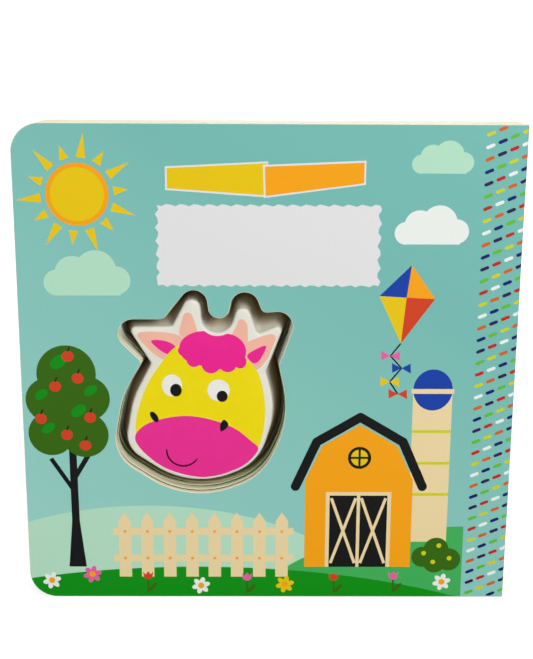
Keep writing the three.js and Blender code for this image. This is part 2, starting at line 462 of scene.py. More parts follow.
class NodeTree:
    """A node tree that is built line by line."""

    def __init__(self, tree):
        self.tree = tree

    def add(self, kind, settings=None, **inputs):
        node = self.tree.nodes.new(kind)
        for key, value in (settings or {}).items():
            setattr(node, key, value)
        self.set(node, **inputs)
        return node

    def set(self, node, **inputs):
        """Sets or links inputs, each by its name or, for keys like at_1, by its place."""
        for key, value in inputs.items():
            if key.startswith("at_"):
                socket = node.inputs[int(key[3:])]
            else:
                wanted = key.replace("_", " ").lower()
                socket = next(s for s in node.inputs if s.name.lower() == wanted and s.enabled)
            if isinstance(value, bpy.types.NodeSocket):
                self.tree.links.new(value, socket)
            else:
                socket.default_value = value

    def math(self, operation, first, second=0.0):
        node = self.add("ShaderNodeMath", {"operation": operation}, at_0=first, at_1=second)
        return node.outputs[0]

    def mix(self, factor, first, second):
        node = self.add("ShaderNodeMix", {"data_type": "RGBA"}, Factor=factor, A=first, B=second)
        return node.outputs["Result"]

    def place(self):
        return self.add("ShaderNodeTexCoord").outputs["Object"]

    def axes(self):
        return self.add("ShaderNodeSeparateXYZ", at_0=self.place()).outputs


class NodeGroup(NodeTree):
    """A node group. inputs and outputs give each socket a value of its kind."""

    def __init__(self, kind, name, inputs, outputs):
        super().__init__(bpy.data.node_groups.new(name, kind))
        for in_out, sockets in (("INPUT", inputs), ("OUTPUT", outputs)):
            for socket, value in sockets.items():
                item = self.tree.interface.new_socket(
                    socket, in_out=in_out, socket_type=socket_kind(value)
                )
                if in_out == "INPUT" and value is not None:
                    item.default_value = value
        self.start = self.tree.nodes.new("NodeGroupInput")
        self.end = self.tree.nodes.new("NodeGroupOutput")

    def value(self, name):
        return self.start.outputs[name]


# Effects that the materials share

def surface_grain():
    """Fine mottle of a colour, and a height that follows it."""
    name = "Surface Grain"
    if name in bpy.data.node_groups:
        return bpy.data.node_groups[name]
    group = NodeGroup(
        "ShaderNodeTree", name,
        {"Color": (1, 1, 1, 1), "Scale": 400.0, "Amount": 0.05, "Stretch": (1, 1, 1)},
        {"Color": (1, 1, 1, 1), "Height": 0.0},
    )
    stretch = group.add("ShaderNodeVectorMath", {"operation": "MULTIPLY"},
                        at_0=group.place(), at_1=group.value("Stretch"))
    noise = group.add("ShaderNodeTexNoise", Vector=stretch.outputs[0], Scale=group.value("Scale"),
                      Detail=4, Roughness=0.65)
    height = noise.outputs["Fac"]
    swing = group.math("MULTIPLY", group.math("SUBTRACT", height, 0.5), group.value("Amount"))
    mottle = group.add("ShaderNodeVectorMath", {"operation": "SCALE"},
                       at_0=group.value("Color"), Scale=group.math("ADD", swing, 1.0))
    group.set(group.end, Color=mottle.outputs[0], Height=height)
    return group.tree


def recess_shade():
    """Painted shade: darkens a surface more the deeper it lies behind the front cover, where little
    light comes.
    """
    name = "Recess Tint"
    if name in bpy.data.node_groups:
        return bpy.data.node_groups[name]
    group = NodeGroup(
        "ShaderNodeTree", name,
        {"Color": (1, 1, 1, 1), "Tint": (0.1, 0.08, 0.03, 1), "Near": HEAD_LOW.y, "Far": 0.0},
        {"Color": (1, 1, 1, 1)},
    )
    ramp = group.add("ShaderNodeMapRange", {"interpolation_type": "SMOOTHSTEP"},
                     Value=group.axes()["Y"], From_Min=group.value("Near"),
                     From_Max=group.value("Far"))
    shaded = group.mix(ramp.outputs["Result"], group.value("Color"), group.value("Tint"))
    group.set(group.end, Color=shaded)
    return group.tree


# Materials

WHITE = (1, 1, 1, 1)


class Finish(NodeTree):
    """A new material with the constant values of its shader."""

    def __init__(self, name, **sockets):
        self.material = bpy.data.materials.new(name)
        self.material.use_nodes = True
        super().__init__(self.material.node_tree)
        self.shader = self.tree.nodes["Principled BSDF"]
        self.set(self.shader, **sockets)

    def ink(self):
        """The colour that is painted on the mesh, and its alpha, which marks the faces that get
        painted sheen and painted shade.
        """
        outputs = self.add("ShaderNodeAttribute", {"attribute_name": "ink"}).outputs
        return outputs["Color"], outputs["Alpha"]

    def grain(self, colour_value, scale, amount=0.0, stretch=(1, 1, 1)):
        return self.add("ShaderNodeGroup", {"node_tree": surface_grain()}, Color=colour_value,
                        Scale=scale, Amount=amount, Stretch=stretch).outputs

    # Painted shade that deepens with the depth behind the front cover
    def recess(self, colour_value, tint, near, far):
        return self.add("ShaderNodeGroup", {"node_tree": recess_shade()}, Color=colour_value,
                        Tint=(*tint, 1), Near=near, Far=far).outputs["Color"]

    def bump(self, height, distance, strength, **normal):
        bump = self.add("ShaderNodeBump", Strength=strength, Distance=distance, Height=height,
                        **normal).outputs["Normal"]
        self.set(self.shader, Normal=bump)
        return bump


def laminated_print():
    """Glossy film over print. A painted sheen lightens the ground towards the lower fore-edge
    corner.
    """
    name = "laminated_print"
    if name in bpy.data.materials:
        return bpy.data.materials[name]
    film = Finish(name, Roughness=0.34, Specular_IOR_Level=0.3, Coat_Weight=0.15,
                  Coat_Roughness=0.15)
    ink, ground = film.ink()
    axes = film.axes()
    # Painted sheen: a pale teal mixed into the ground towards the lower fore-edge corner
    across = film.math("MULTIPLY", axes["X"], -2.6)
    down = film.math("MULTIPLY", axes["Z"], -4.2)
    sheen_slope = film.math("ADD", film.math("ADD", across, down), 0.62)
    painted_sheen = film.add("ShaderNodeClamp", Value=sheen_slope).outputs[0]
    pale = (*srgb(160, 214, 203), 1)
    grain = film.grain(film.mix(film.math("MULTIPLY", painted_sheen, ground), ink, pale), 900.0, 0.05)
    film.set(film.shader, Base_Color=grain["Color"])
    warped = film.bump(film.grain(WHITE, 9.0)["Height"], 0.0012, 0.6)
    film.bump(grain["Height"], 0.00001, 0.25, Normal=warped)
    return film.material


def cut_board(name="cut_board", recessed=False):
    """The die-cut edge of pressed board: plies along the thickness, a little dusty."""
    if name in bpy.data.materials:
        return bpy.data.materials[name]
    board = Finish(name, Roughness=0.92)
    plies = board.grain((*srgb(232, 225, 200), 1), 130.0, 0.45, (1, 22, 1))
    skin = board.grain(plies["Color"], 1500.0, 0.22)["Color"]
    if recessed:
        # Painted shade: the window's cut edge darkens towards the back of the block
        skin = board.recess(skin, srgb(190, 168, 118), BLOCK_LOW.y, BLOCK_HIGH.y)
    board.set(board.shader, Base_Color=skin)
    board.bump(plies["Height"], 0.00012, 0.7)
    return board.material


def window_board():
    """The die-cut edge in the window, with painted shade that darkens it with its depth."""
    return cut_board("window_board", recessed=True)


def seam_board():
    """Painted shade: the dark brown that shows at the bottom of a seam between two leaves."""
    seam = Finish("seam_board", Roughness=0.95)
    grain = seam.grain((*srgb(74, 58, 34), 1), 300.0, 0.5)
    seam.set(seam.shader, Base_Color=grain["Color"])
    return seam.material


def painted_vinyl():
    """Soft moulded vinyl with a satin paint on the face. Only the flank gets painted shade."""
    vinyl = Finish("painted_vinyl", Roughness=0.42, Specular_IOR_Level=0.25)
    ink, flank = vinyl.ink()
    colour_value = vinyl.grain(ink, 260.0, 0.06)["Color"]
    # Painted shade: the flank darkens to a warm brown the deeper it lies towards the glued rim
    shaded = vinyl.recess(colour_value, srgb(152, 128, 78), HEAD_LOW.y + 1.3 * MM,
                          HEAD_HIGH.y - MM)
    speck = vinyl.grain(WHITE, 1400.0)["Height"]
    roughness = vinyl.math("ADD", vinyl.math("MULTIPLY", speck, 0.2), 0.32)
    vinyl.set(vinyl.shader, Base_Color=vinyl.mix(flank, colour_value, shaded),
              Roughness=roughness)
    soft = vinyl.bump(vinyl.grain(WHITE, 45.0)["Height"], 0.0006, 0.5)
    vinyl.bump(speck, 0.00003, 0.35, Normal=soft)
    return vinyl.material


def plain_plastic(name, colour_value, roughness):
    """Bare plastic of the squeaker's inner parts."""
    plastic = Finish(name, Roughness=roughness)
    grain = plastic.grain((*colour_value, 1), 600.0, 0.08)
    plastic.set(plastic.shader, Base_Color=grain["Color"])
    plastic.bump(grain["Height"], 0.00003, 0.4)
    return plastic.material


# The printed picture: a farm behind a fence. Each field is an ink and an outline, and later fields
# lie over earlier ones.

def sky_fields():
    u, v = 22, 149
    rays = []
    for k in range(14):
        angle = math.tau * k / 14 + 0.1
        corners = ((12.6, -0.13), (21 if k % 2 else 17.5, 0), (12.6, 0.13))
        rays.append(("yellow", [polar(u, v, reach, angle + aside) for reach, aside in corners]))
    return [
        *rays, ("orange", ellipse(u, v, 10.8)), ("yellow", ellipse(u, v, 9.2)),
        *cloud("mint", 24, 116, 1.0),
        *cloud("white", 143, 134, 0.85),
        *cloud("mint", 146, 158, 0.7),
    ]


def cloud(ink, u, v, scale):
    """Round tufts over a level base."""
    tufts = [(-10, 2.4, 4.6), (-4.5, 5.6, 6.2), (3.5, 6.6, 7.2), (10.5, 3.2, 5.0)]
    fields = [(ink, ellipse(u + a * scale, v + b * scale, r * scale)) for a, b, r in tufts]
    base = rectangle(u - 11 * scale, v - 2.1 * scale, u + 12 * scale, v + 3 * scale)
    return [*fields, (ink, base)]


def kite_fields():
    """A diamond kite with four panes, a bent tail and bows."""
    top, right, bottom, left = (137, 125), (145.5, 113), (134, 97), (126, 114)
    middle = (135.5, 113.5)
    tail = [bottom, (130.5, 92.5), (134.5, 88), (130.5, 83), (133.5, 78.5)]
    fields = [
        ("blue", [left, middle, top]), ("orange", [middle, right, top]),
        ("yellow", [left, bottom, middle]), ("red", [bottom, right, middle]),
        *(("black", bar(*a, *b, 0.55)) for a, b in zip(tail, tail[1:])),
    ]
    for (u, v), ink in zip(tail[1:], ("pink", "blue", "yellow", "red")):
        fields.append((ink, [(u, v), (u - 3.4, v + 1.9), (u - 3.2, v - 1.7)]))
        fields.append((ink, [(u, v), (u + 3.2, v + 1.7), (u + 3.4, v - 1.9)]))
    return fields


def hill_fields():
    return [
        ("mint", ellipse(44, -10, 86, 46, count=96)),
        ("leaf", ellipse(158, -18, 84, 46, count=96)),
        ("green", ellipse(62, -40, 150, 52, count=96)),
    ]


def tree_fields():
    trunk = [(14.6, 12), (21, 12), (19, 30), (18.6, 62), (16, 62), (16.2, 30)]
    crown = [
        (16, 85.5, 10.5), (9.5, 76, 8.2), (23, 76.5, 8.2), (10, 63.5, 8.2), (22, 63, 8.4),
        (16.5, 70, 10.5),
    ]
    light = [(13.5, 90, 3.4), (7, 78, 2.5), (24.5, 79.5, 2.6), (9, 65.5, 2.6), (20, 72, 3)]
    fields = [
        ("black", trunk), ("black", bar(17.4, 46, 24.5, 58, 1.8)),
        ("black", bar(17.2, 42, 9.5, 54, 1.6)),
        *(("forest", ellipse(*round_part)) for round_part in crown),
        *(("green", ellipse(u, v, r, r * 0.62, 35)) for u, v, r in light),
    ]
    apples = [(20, 84), (12, 81), (24, 69.5), (6.5, 69), (15.5, 63), (22, 59), (16.8, 92)]
    for u, v in apples:
        fields.append(("red", ellipse(u, v, 2.1, 1.95)))
        fields.append(("black", bar(u, v + 1.8, u + 0.7, v + 3.4, 0.5)))
    return fields


def barn_fields():
    """A barn with a round window and braced doors, before a silo."""
    walls = [(101, 12), (140, 12), (140, 46), (134, 59), (120.5, 67), (107, 59), (101, 46)]
    roof = [(97.5, 43.5), (105, 60.5), (120.5, 69.8), (136, 60.5), (143.5, 43.5)]
    braces = [
        bar(u + 0.6, v, u + width - 0.6, 52.5 - v, 1.1)
        for u, width in ((110, 10.1), (120.9, 10.1)) for v in (13.5, 39)
    ]
    return [
        ("cream", rectangle(139, 22, 153, 80)),
        ("blue", ellipse(146, 80, 7, 7.6)),
        ("cream", rectangle(138.4, 78.6, 153.6, 80.4)),
        *(("lime", rectangle(139, level, 153, level + 1)) for level in (40, 52, 64)),
        ("orange", walls),
        *(("black", bar(*a, *b, 3.4)) for a, b in zip(roof, roof[1:])),
        *(("black", ellipse(*corner, 1.7)) for corner in roof),
        ("black", ellipse(120.5, 54.5, 4.2)),
        ("yellow", ellipse(120.5, 54.5, 3.1)),
        ("black", rectangle(120.1, 51, 120.9, 58)),
        ("black", rectangle(117, 54.1, 124, 54.9)),
        ("cream", rectangle(108.6, 12, 132.4, 41.4)),
        ("black", rectangle(110, 12, 131, 40)),
        *(("cream", brace) for brace in braces),
        ("cream", rectangle(119.9, 12, 121.1, 40)),
    ]


def fence_fields():
    fields = [("cream", rectangle(31, v, 97, v + 2.8)) for v in (24.5, 14)]
    for k in range(8):
        u = 33 + 8.2 * k
        fields.append(("cream", [(u, 8), (u + 4.6, 8), (u + 4.6, 30), (u + 2.3, 33.4), (u, 30)]))
        fields += [("orange", ellipse(u + 2.3, v, 0.55, count=12)) for v in (25.9, 15.4)]
    return fields


def flower_fields():
    """Open flowers and cupped ones along the meadow."""
    fields = []
    for u, v, ink in ((8, 6.5, "white"), (23, 9, "pink"), (63, 4.5, "white"), (94, 5, "yellow"),
                      (152, 6, "white")):
        for angle in range(15, 375, 60):
            petal = polar(u, v, 1.9, math.radians(angle))
            fields.append((ink, ellipse(*petal, 1.5, 0.95, angle, 20)))
        fields.append(("orange", ellipse(u, v, 1.15, count=20)))
    cup = [
        (-1.9, 8), (-1.5, 5.6), (0, 4.8), (1.5, 5.6),
        (1.9, 8), (0.9, 6.9), (0, 8.2), (-0.9, 6.9),
    ]
    for u, v, ink in ((43.5, 2, "red"), (80, 1.5, "pink"), (112, 1.5, "red"), (134, 2, "pink")):
        fields += [
            ("forest", bar(u, v, u, v + 5, 0.7)),
            ("forest", ellipse(u + 1.7, v + 1.9, 2.1, 0.75, 48, 20)),
            (ink, [(u + a, v + b) for a, b in cup]),
        ]
    return fields


def bush_fields():
    leaves = ((144.5, 16, 4), (149.5, 19, 4.6), (154.2, 15, 4.4), (149, 14, 4.2))
    berries = ((145, 17.5), (150.5, 20.5), (154.5, 15.5), (148.5, 14))
    return [
        *(("forest", ellipse(*round_part)) for round_part in leaves),
        *(("lime", ellipse(*berry, 0.9, count=16)) for berry in berries),
    ]


def label_fields():
    """A bare title label with a softly rippled edge, under two bare ribbons."""
    left, right, bottom, top = 49, 125.5, 117.5, 145.5
    long, short = 48, 18
    across, upward = (right - left) / long, (top - bottom) / short
    ripple, wave = 0.45, 0.7
    label = [
        *((left + across * k, bottom + ripple * math.sin(k * 2.3)) for k in range(long)),
        *((right + wave * math.sin(k * 1.9), bottom + upward * k) for k in range(short)),
        *((right - across * k, top + ripple * math.sin(k * 2.1)) for k in range(long)),
        *((left + wave * math.sin(k * 2.2), top - upward * k) for k in range(short)),
    ]
    return [
        ("label", label),
        ("label", [(52, 150.6), (87, 148.2), (87, 160.4), (52, 158.6)]),
        ("yellow", [(52.6, 151.2), (86.6, 148.9), (86.6, 159.8), (52.6, 158)]),
        ("label", [(85.6, 148), (120.3, 152.6), (120.3, 160.8), (85.2, 159.2)]),
        ("orange", [(86.2, 148.7), (119.7, 153.1), (119.7, 160.1), (85.9, 158.6)]),
    ]


def ground_from(u):
    """Bare ground from a line up the cover to beyond the spine."""
    return ("teal", rectangle(u, -1, BOOK_WIDTH + 1, BOOK_HEIGHT + 1))


def fold_lines():
    """Narrow strips of ground at the spine, so that the board can bend round the fold."""
    fold = sizes().fold / MM
    return [ground_from(BOOK_WIDTH - fold * share) for share in (1.0, 0.8, 0.6, 0.45)]


def page_fields():
    """The same meadow on every page: it rises round the head."""
    return [
        ("leaf", ellipse(140, 6, 92, 74, count=96)),
        ("page", ellipse(52, -22, 128, 104, count=96)),
        *cloud("mint", 136, 140, 1.1),
        *cloud("mint", 34, 150, 0.8),
    ]


# Where the strip of dashes begins on the front cover
STRIP_U = 159.2


def picture():
    return [
        *fold_lines(), *sky_fields(), *hill_fields(), *kite_fields(), *tree_fields(),
        *barn_fields(), *bush_fields(), *fence_fields(), *flower_fields(), *label_fields(),
        ground_from(STRIP_U),
    ]


# The boards

# Material slots of a solid: its printed faces, its cut edges and its window's cut edge
PRINT_SLOT, CUT_SLOT, WINDOW_SLOT = 0, 1, 2
# How near the spine a wall has to be to carry the wrap
WRAP_REACH = 0.4


def fold_shape(outer, inward):
    """Bends a board's spine edge round the fold. inward is the way from its outer face in."""
    fold = sizes().fold / MM

    def bend(places):
        into = np.clip((places[:, 0] - (BOOK_WIDTH - fold)) / fold, 0, 1)
        least = fold * (1 - np.sqrt(1 - into * into))
        depth = np.maximum((places[:, 1] - outer) * inward, least)
        places[:, 1] = outer + depth * inward
        return places

    return bend


def wrapped_from(spine_u):
    """Gives the wrap to the wall faces at the spine, and a cut edge to every other side."""
    def slot(first, second):
        return PRINT_SLOT if min(first[0], second[0]) > spine_u - WRAP_REACH else CUT_SLOT

    return slot


def one_slot(first, second):
    """One material all over."""
    return PRINT_SLOT


def book_materials():
    return [laminated_print(), cut_board()]


class BOARDBOOK_OT_front_cover(bpy.types.Operator):
    """Builds the front cover: a board with its window and its printed, laminated face"""

    bl_idname = "boardbook.front_cover"
    bl_label = "Front Cover"

    def execute(self, context):
        rounding = sizes().cut_round / MM
        panel = Panel(board_outline(BOOK_WIDTH, rounding), [window_outline(-rounding)], picture())
        cover = panel_solid(
            "front_cover_board", panel, edge_stations(FRONT_FACE, BOARD, rounding),
            None, "endpaper", "teal", inks(), book_materials(),
            wrapped_from(BOOK_WIDTH), fold_shape(FRONT_FACE, 1),
        )
        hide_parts("front_cover")
        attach(cover, "front_cover")
        return {"FINISHED"}


class BOARDBOOK_OT_back_cover(bpy.types.Operator):
    """Builds the back cover: a plain printed board"""

    bl_idname = "boardbook.back_cover"
    bl_label = "Back Cover"

    def execute(self, context):
        rounding = sizes().cut_round / MM
        panel = Panel(board_outline(BOOK_WIDTH, rounding), [], fold_lines())
        cover = panel_solid(
            "back_cover_board", panel, edge_stations(BACK_HINGE, BOARD, rounding),
            "endpaper", None, "teal", inks(), book_materials(),
            wrapped_from(BOOK_WIDTH), fold_shape(BACK_HINGE + BOARD, -1),
        )
        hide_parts("back_cover")
        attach(cover, "back_cover")
        return {"FINISHED"}


# The spine strip: how far it lies in from the covers' edges, its thickness, and the gap at a hinge
SPINE_STEP = 0.12
SPINE_BOARD = 1.1
CREASE = 0.05


class BOARDBOOK_OT_spine_wrap(bpy.types.Operator):
    """Builds the strip of the wrap across the spine"""

    bl_idname = "boardbook.spine_wrap"
    bl_label = "Spine Wrap"

    def execute(self, context):
        outer = BOOK_WIDTH - SPINE_STEP
        rounding = sizes().cut_round / MM
        low, high = FRONT_HINGE + CREASE, BACK_HINGE - CREASE
        panel = Panel(rectangle(outer - SPINE_BOARD + rounding, rounding,
                                outer - rounding, BOOK_HEIGHT - rounding))
        wrap = panel_solid(
            "spine_wrap_board", panel, edge_stations(low, high - low, rounding),
            "teal", "teal", "teal", inks(), book_materials(), wrapped_from(outer),
        )
        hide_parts("spine_panel")
        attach(wrap, "pages")
        return {"FINISHED"}


# The pages

def apply_tree(group, obj, **values):
    """The object's mesh after a geometry node group, as a plain mesh."""
    modifier = obj.modifiers.new("Nodes", "NODES")
    modifier.node_group = group.tree
    for item in group.tree.interface.items_tree:
        key = item.name.replace(" ", "_")
        if item.in_out == "INPUT" and key in values:
            modifier[item.identifier] = values[key]
    depsgraph = bpy.context.evaluated_depsgraph_get()
    mesh = bpy.data.meshes.new_from_object(obj.evaluated_get(depsgraph), depsgraph=depsgraph)
    obj.modifiers.remove(modifier)
    return mesh


def copies_with(tree, points, name, value, **settings):
    """Puts a copy of the object on each point, with a value stored on every copy."""
    copies = tree.add("GeometryNodeInstanceOnPoints", Points=points.outputs[0],
                      Instance=tree.value("Geometry"), **settings)
    named = tree.add("GeometryNodeStoreNamedAttribute",
                     {"data_type": "FLOAT", "domain": "INSTANCE"},
                     Geometry=copies.outputs[0], Name=name, Value=value)
    return tree.add("GeometryNodeRealizeInstances", Geometry=named.outputs[0]).outputs[0]


def attribute(tree, kind, name):
    node = tree.add("GeometryNodeInputNamedAttribute", {"data_type": kind}, Name=name)
    return node.outputs["Attribute"]


def vector(tree, x=0.0, y=0.0, z=0.0):
    return tree.add("ShaderNodeCombineXYZ", X=x, Y=y, Z=z).outputs[0]


def leaf_stack_tree(page, edge, window_edge):
    """Copies one leaf into a stack and lets each copy's window wander a little."""
    tree = NodeGroup("GeometryNodeTree", "Leaf Stack", {
        "Geometry": None, "Leaves": 6, "Pitch": 0.0025, "Drift": 0.0003, "Turn": 2.4, "Phase": 0.0,
    }, {"Geometry": None})
    number = tree.add("GeometryNodeInputIndex").outputs[0]
    back = tree.math("MULTIPLY", number, tree.math("MULTIPLY", tree.value("Pitch"), -1.0))
    points = tree.add("GeometryNodePoints", Count=tree.value("Leaves"),
                      Position=vector(tree, y=back))
    stack = copies_with(tree, points, "leaf", number)
    turned = tree.math("MULTIPLY", attribute(tree, "FLOAT", "leaf"), tree.value("Turn"))
    angle = tree.math("ADD", turned, tree.value("Phase"))
    across = tree.math("MULTIPLY", tree.math("COSINE", angle), tree.value("Drift"))
    upward = tree.math("MULTIPLY", tree.math("SINE", angle), tree.value("Drift"))
    result = tree.add("GeometryNodeSetPosition", Geometry=stack,
                      Selection=attribute(tree, "BOOLEAN", "window"),
                      Offset=vector(tree, x=across, z=upward)).outputs[0]
    result = tree.add("GeometryNodeSetMaterial", Geometry=result, Material=page).outputs[0]
    for name, material in (("wall", edge), ("window_wall", window_edge)):
        result = tree.add("GeometryNodeSetMaterial", Geometry=result, Material=material,
                          Selection=attribute(tree, "BOOLEAN", name)).outputs[0]
    tree.set(tree.end, Geometry=result)
    return tree


# How the leaves' windows wander from one to the next, as in the solid model
DRIFT_TURN = 2.4
DRIFT_PHASE = math.pi / 2 - 5 * DRIFT_TURN
# Half width and height of a box round the window that reaches no outer edge
WINDOW_REACH = (45, 50)
LEAF_ROUND = 0.1
# How far the seams' dark core of painted shade stays inside the block's faces
SEAM_COVER = 0.4


def at_window(u, v):
    """True for a point of a window's wall, and not of a leaf's outer edge."""
    return abs(u - WINDOW_U) < WINDOW_REACH[0] and abs(v - WINDOW_V) < WINDOW_REACH[1]


def mark(mesh, name, domain, values):
    mesh.attributes.new(name, "BOOLEAN", domain).data.foreach_set("value", values)


class BOARDBOOK_OT_page_block(bpy.types.Operator):
    """Builds the stack of leaves and the dark seams between them, with a core of painted shade"""

    bl_idname = "boardbook.page_block"
    bl_label = "Page Block"

    def execute(self, context):
        size = sizes()
        pitch = BLOCK_THICKNESS / size.leaves
        thickness = pitch - size.seam / MM
        spine_u = BLOCK_HIGH.x / MM - FORE_EDGE
        margin = size.window_margin / MM
        panel = Panel(board_outline(spine_u, LEAF_ROUND), [window_outline(-margin - LEAF_ROUND)],
                      page_fields(), "endpaper")
        near = BLOCK_BACK - pitch + size.seam / MM / 2
        leaf = panel_solid(
            "leaf", panel, edge_stations(near, thickness, LEAF_ROUND, 2),
            None, None, "page", inks(), [*book_materials(), window_board()],
            lambda a, b: WINDOW_SLOT if at_window(*a[::2]) else CUT_SLOT,
        )
        mesh = leaf.data
        for name, slot in (("wall", CUT_SLOT), ("window_wall", WINDOW_SLOT)):
            mark(mesh, name, "FACE", [p.material_index == slot for p in mesh.polygons])
        mark(mesh, "window", "POINT",
             [at_window(v.co.x / MM - FORE_EDGE, v.co.z / MM) for v in mesh.vertices])
        leaf.data = apply_tree(
            leaf_stack_tree(*book_materials(), window_board()), leaf, Leaves=size.leaves,
            Pitch=pitch * MM, Drift=size.drift, Turn=DRIFT_TURN, Phase=DRIFT_PHASE,
        )
        leaf.name = "page_leaves"
        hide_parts("page_block")
        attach(leaf, "pages")
        self.seams(spine_u, size)
        return {"FINISHED"}

    @staticmethod
    def seams(spine_u, size):
        """A dark core of painted shade that shows between the leaves."""
        depth = size.seam_depth / MM
        window = window_outline(-depth - size.drift / MM)
        panel = Panel(board_outline(spine_u, depth), [window], [], "black")
        rings = edge_stations(BLOCK_BACK - BLOCK_THICKNESS + SEAM_COVER,
                              BLOCK_THICKNESS - 2 * SEAM_COVER, LEAF_ROUND, 1)
        core = panel_solid("page_seams", panel, rings, "black", "black", "black", inks(),
                           [seam_board()], one_slot)
        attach(core, "pages")


# The strip of dashes

DASH_INKS = ("navy", "brick", "rust", "grass", "white", "purple", "lime")
DASH_COLUMNS = 12
DASH_SLANT = math.radians(23)
# How far the choice of ink moves on from one row, and from one column, to the next
ROW_STEP, COLUMN_STEP = 2.0, 3.0
# Where the middle of the first column lies, and how far the strip stays inside the book's height
FIRST_DASH = 162.2
DASH_MARGIN = 0.5
# How far the printed film stands proud of the board, and its cuts round a fold
FILM = 0.015
FOLD_STEPS = 6


def dash_tree(material):
    """A lattice of dashes, each with its place's colour, on one plane."""
    tree = NodeGroup("GeometryNodeTree", "Dash Strip", {
        "Geometry": None, "Columns": 12, "Rows": 42, "Column Pitch": 0.0041, "Row Pitch": 0.0042,
        "Rise": 0.0018, "Slant": 0.4,
    }, {"Geometry": None})
    number = tree.add("GeometryNodeInputIndex").outputs[0]
    column = tree.math("MODULO", number, tree.value("Columns"))
    row = tree.math("FLOOR", tree.math("DIVIDE", number, tree.value("Columns")))
    count = tree.math("MULTIPLY", tree.value("Columns"), tree.value("Rows"))
    across = tree.math("MULTIPLY", column, tree.value("Column Pitch"))
    upward = tree.math("ADD", tree.math("MULTIPLY", row, tree.value("Row Pitch")),
                       tree.math("MULTIPLY", column, tree.value("Rise")))
    points = tree.add("GeometryNodePoints", Count=count,
                      Position=vector(tree, x=across, z=upward))
    turn = vector(tree, y=tree.math("MULTIPLY", tree.value("Slant"), -1.0))
    steps = tree.math("ADD", tree.math("MULTIPLY", row, ROW_STEP),
                      tree.math("MULTIPLY", column, COLUMN_STEP))
    pick = tree.math("MODULO", steps, float(len(DASH_INKS)))
    dashes = copies_with(tree, points, "pick", pick, Rotation=turn)
    result = tree.add("GeometryNodeSetMaterial", Geometry=dashes, Material=material).outputs[0]
    tree.set(tree.end, Geometry=result)
    return tree


def wrap_path():
    """Ways along the wrap from the fore edge: to the end of the cover's face, to the end of the
    fold, to the front hinge and to the back hinge."""
    fold = sizes().fold / MM
    face_end = BOOK_WIDTH - fold
    turned = face_end + fold * math.pi / 2
    hinge = turned + BOARD - fold
    return face_end, turned, hinge, hinge + (BACK_HINGE - FRONT_HINGE)


